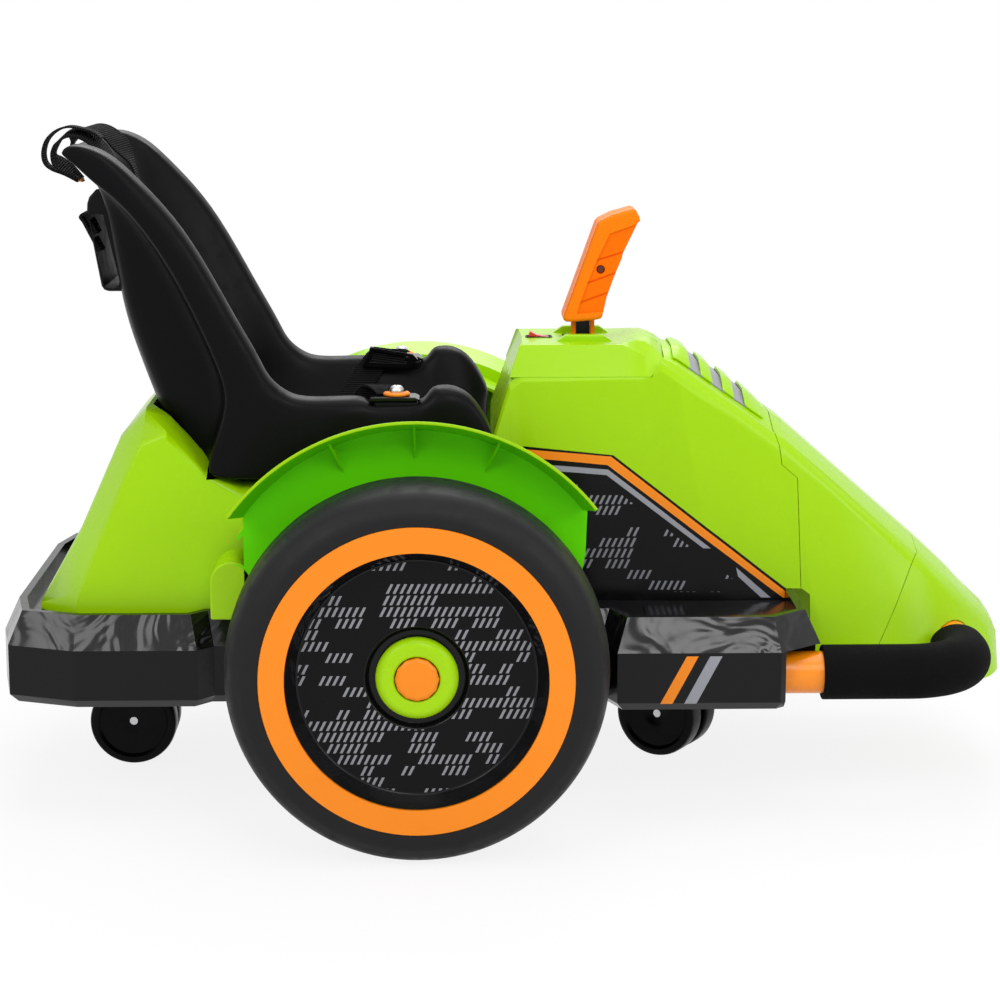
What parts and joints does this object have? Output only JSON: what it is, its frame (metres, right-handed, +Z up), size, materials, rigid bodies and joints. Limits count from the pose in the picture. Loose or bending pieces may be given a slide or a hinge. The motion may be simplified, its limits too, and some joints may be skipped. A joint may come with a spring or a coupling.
{
  "type": "battery spin kart",
  "caption": "Child's battery-driven spin kart: side drive wheels, swivelling nose and tail casters, bucket seat with harness, central joystick and a bumper bar.",
  "frame": {"origin": "on the ground, midway along the length and on the centre plane between the drive wheels", "axes": "+X forward to the nose, +Y to the rider's left, +Z up"},
  "size_m": [0.95, 0.69, 0.6162],
  "materials": {
    "lime": "moulded lime-green plastic, satin gloss",
    "black_gloss": "moulded black plastic, gloss",
    "black": "moulded black plastic, fine grain",
    "grey": "moulded grey plastic, fine grain",
    "caster_wheel": "hard black caster tread, satin",
    "red": "moulded red plastic, gloss",
    "orange": "moulded orange plastic, satin gloss",
    "orange_tube": "orange powder coat on steel tube",
    "foam": "closed-cell black foam, matt",
    "tyre": "moulded black tyre, matt",
    "steel": "zinc-plated steel, satin",
    "webbing": "woven black webbing, matt"
  },
  "bodies": {
    "kart": {"rear_body": "lime", "front_cowl": "lime", "console": "lime", "nose_cowl": "lime", "nose_tip": "lime", "fender_right": "lime", "fender_left": "lime", "chassis": "black_gloss", "seat_shell": "black_gloss", "vent_insert": "grey", "rocker_bezel": "black", "gearbox_right": "black", "gearbox_left": "black", "harness_bracket": "black", "harness_buckle": "black", "joystick_housing": "black", "battery": "black", "control_box": "black", "bumper_tube": "orange_tube", "bumper_foam_right": "foam", "bumper_foam_left": "foam", "seat_washer_right": "orange", "seat_washer_left": "orange", "drive_axle": "steel", "motor_right": "steel", "motor_left": "steel", "seat_bolt_right": "steel", "seat_bolt_left": "steel", "rear_caster_plate": "steel", "front_caster_plate": "steel", "lap_belt_right": "webbing", "lap_belt_left": "webbing", "shoulder_strap_right": "webbing", "shoulder_strap_left": "webbing"},
    "wheel_right": {"tyre_right": "tyre", "rim_right": "black_gloss", "wheel_ring_right": "orange", "hub_ring_right": "lime", "hub_cap_right": "orange"},
    "wheel_left": {"tyre_left": "tyre", "rim_left": "black_gloss", "wheel_ring_left": "orange", "hub_ring_left": "lime", "hub_cap_left": "orange"},
    "rear_caster": {"rear_caster_fork": "black", "rear_caster_axle": "steel"},
    "rear_caster_roller_left": {"rear_caster_wheel_left": "caster_wheel"},
    "rear_caster_roller_right": {"rear_caster_wheel_right": "caster_wheel"},
    "front_caster": {"front_caster_fork": "black", "front_caster_axle": "steel"},
    "front_caster_roller_left": {"front_caster_wheel_left": "caster_wheel"},
    "front_caster_roller_right": {"front_caster_wheel_right": "caster_wheel"},
    "stick_yoke": {"gimbal_yoke": "steel"},
    "stick": {"joystick_shaft": "steel", "joystick_pin": "steel", "joystick_grip_right": "orange", "joystick_grip_left": "orange", "grip_bolt": "steel"},
    "power_rocker": {"rocker_switch": "red"}
  },
  "joints": [
    {"name": "wheel_right_spin", "type": "hinge", "parent": "kart", "child": "wheel_right", "pos_m": [-0.09, -0.295, 0.166], "axis": [0, 1, 0], "continuous": true},
    {"name": "wheel_left_spin", "type": "hinge", "parent": "kart", "child": "wheel_left", "pos_m": [-0.09, 0.295, 0.166], "axis": [0, 1, 0], "continuous": true},
    {"name": "rear_caster_swivel", "type": "hinge", "parent": "kart", "child": "rear_caster", "pos_m": [-0.346, 0, 0.1], "axis": [0, 0, 1], "continuous": true},
    {"name": "rear_caster_left_spin", "type": "hinge", "parent": "rear_caster", "child": "rear_caster_roller_left", "pos_m": [-0.371, 0.015, 0.042], "axis": [0, 1, 0], "continuous": true},
    {"name": "rear_caster_right_spin", "type": "hinge", "parent": "rear_caster", "child": "rear_caster_roller_right", "pos_m": [-0.371, -0.015, 0.042], "axis": [0, 1, 0], "continuous": true},
    {"name": "front_caster_swivel", "type": "hinge", "parent": "kart", "child": "front_caster", "pos_m": [0.175, 0, 0.1], "axis": [0, 0, 1], "continuous": true},
    {"name": "front_caster_left_spin", "type": "hinge", "parent": "front_caster", "child": "front_caster_roller_left", "pos_m": [0.15357, 0.01288, 0.042], "axis": [0.515, 0.8572, 0], "continuous": true},
    {"name": "front_caster_right_spin", "type": "hinge", "parent": "front_caster", "child": "front_caster_roller_right", "pos_m": [0.15357, 0.01288, 0.042], "axis": [0.515, 0.8572, 0], "continuous": true},
    {"name": "stick_side", "type": "hinge", "parent": "kart", "child": "stick_yoke", "pos_m": [0.067, 0, 0.398], "axis": [1, 0, 0], "range_deg": [-12, 12], "stiffness_Nm_per_rad": 5},
    {"name": "stick_fore_aft", "type": "hinge", "parent": "stick_yoke", "child": "stick", "pos_m": [0.067, 0, 0.398], "axis": [0, 1, 0], "range_deg": [-12, 12], "stiffness_Nm_per_rad": 5},
    {"name": "power_rocker_tilt", "type": "hinge", "parent": "kart", "child": "power_rocker", "pos_m": [0.025, 0, 0.415], "axis": [0, 1, 0], "range_deg": [-12, 0]}
  ]
}
